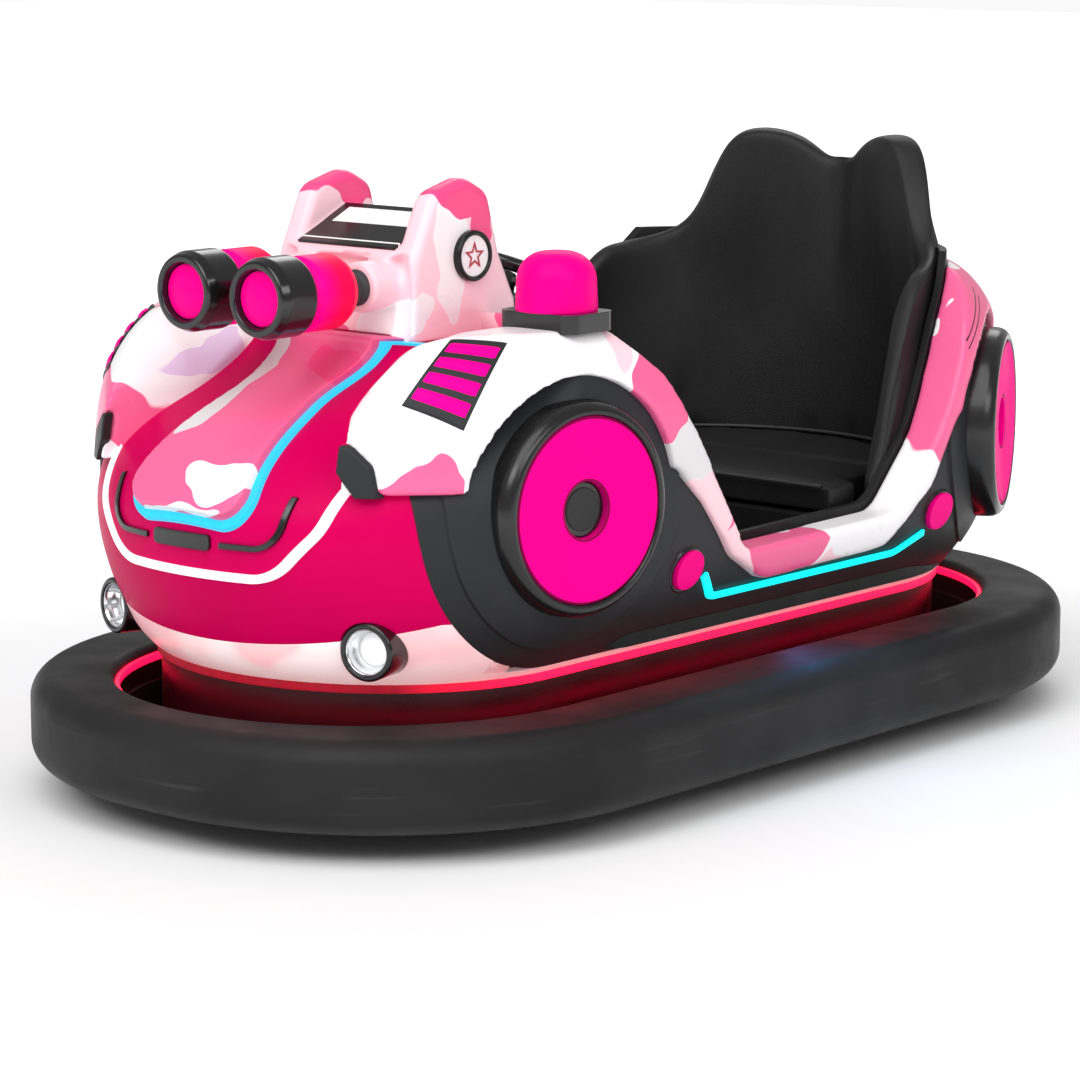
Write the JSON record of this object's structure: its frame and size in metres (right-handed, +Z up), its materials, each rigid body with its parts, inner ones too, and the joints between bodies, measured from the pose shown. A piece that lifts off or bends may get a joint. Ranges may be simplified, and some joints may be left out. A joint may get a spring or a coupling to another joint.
{
  "type": "bumper car",
  "caption": "Battery bumper car for two riders: oval rubber ring, tank-style nose with a turret, bucket seat, steered drive wheel.",
  "frame": {"origin": "on the floor under the middle of the bumper ring", "axes": "-Y is the nose, +X is the car's own left side, +Z is up"},
  "size_m": [1.15, 2.084, 1.02],
  "materials": {
    "ring_rubber": "satin",
    "camo": "gloss",
    "crimson": "gloss",
    "pale_pink": "gloss",
    "black_panel": "satin",
    "black_gloss": "gloss",
    "magenta": "satin",
    "magenta_lens": "gloss",
    "light_cyan": "gloss",
    "light_white": "gloss",
    "light_red": "gloss",
    "tub_black": "satin",
    "seat_leather": "satin",
    "dark_grey": "satin",
    "frame_steel": "satin",
    "star_white": "gloss",
    "lens_glass": "gloss",
    "road_tyre": "satin",
    "collar_red": "satin"
  },
  "bodies": {
    "car": {"base_collar": "collar_red", "battery": "dark_grey", "beacon_base": "black_gloss", "beacon_dome": "magenta_lens", "bumper_ring": "ring_rubber", "cannon_barrels": "dark_grey", "cannon_collars": "magenta", "cannon_lenses": "magenta_lens", "cannon_muzzles": "black_gloss", "charge_socket": "black_gloss", "chassis": "frame_steel", "dash": "tub_black", "fender_left": "camo", "fender_right": "camo", "fender_tips": "black_gloss", "hood": "camo", "hood_light": "light_cyan", "lamp_bezels": "black_gloss", "lamp_lenses": "lens_glass", "louvre_slats": "magenta", "louvres": "black_gloss", "lower_band": "pale_pink", "nose_light": "light_white", "nose_panel": "crimson", "nose_plate": "black_gloss", "nose_slits": "black_gloss", "pedal": "frame_steel", "rear_fender_left": "camo", "rear_fender_right": "camo", "rim_light": "light_red", "seat_back": "seat_leather", "seat_cushion": "seat_leather", "side_lamps": "magenta_lens", "side_panel_left": "black_panel", "side_panel_right": "black_panel", "sill_left": "camo", "sill_lights": "light_cyan", "sill_right": "camo", "star_discs": "star_white", "tail_deck": "camo", "tail_panel": "black_panel", "tub": "tub_black", "turret": "camo", "underglow": "light_red", "visor_screen": "black_gloss", "wheel_discs": "magenta", "wheel_hubs": "black_gloss", "wheel_tyres": "black_gloss"},
    "drive_fork": {"drive_fork": "frame_steel"},
    "drive_wheel": {"drive_wheel": "road_tyre"},
    "steering_wheel": {"steering_wheel": "black_gloss"},
    "rear_wheel_left": {"rear_wheel_left": "road_tyre"},
    "rear_wheel_right": {"rear_wheel_right": "road_tyre"}
  },
  "joints": [
    {"name": "drive_slew", "type": "hinge", "parent": "car", "child": "drive_fork", "pos_m": [0, -0.52, 0.21], "axis": [0, 0, 1], "continuous": true},
    {"name": "drive_spin", "type": "hinge", "parent": "drive_fork", "child": "drive_wheel", "pos_m": [0, -0.52, 0.09], "axis": [1, 0, 0], "continuous": true},
    {"name": "rear_spin_left", "type": "hinge", "parent": "car", "child": "rear_wheel_left", "pos_m": [0.28, 0.51, 0.076], "axis": [1, 0, 0], "continuous": true},
    {"name": "rear_spin_right", "type": "hinge", "parent": "car", "child": "rear_wheel_right", "pos_m": [-0.28, 0.51, 0.076], "axis": [1, 0, 0], "continuous": true},
    {"name": "helm_turn", "type": "hinge", "parent": "car", "child": "steering_wheel", "pos_m": [0, -0.2, 0.815], "axis": [0, 0.4067, 0.9135], "continuous": true}
  ],
  "couplings": [
    {"joint": "helm_turn", "follows": "drive_slew", "ratio": 1}
  ]
}
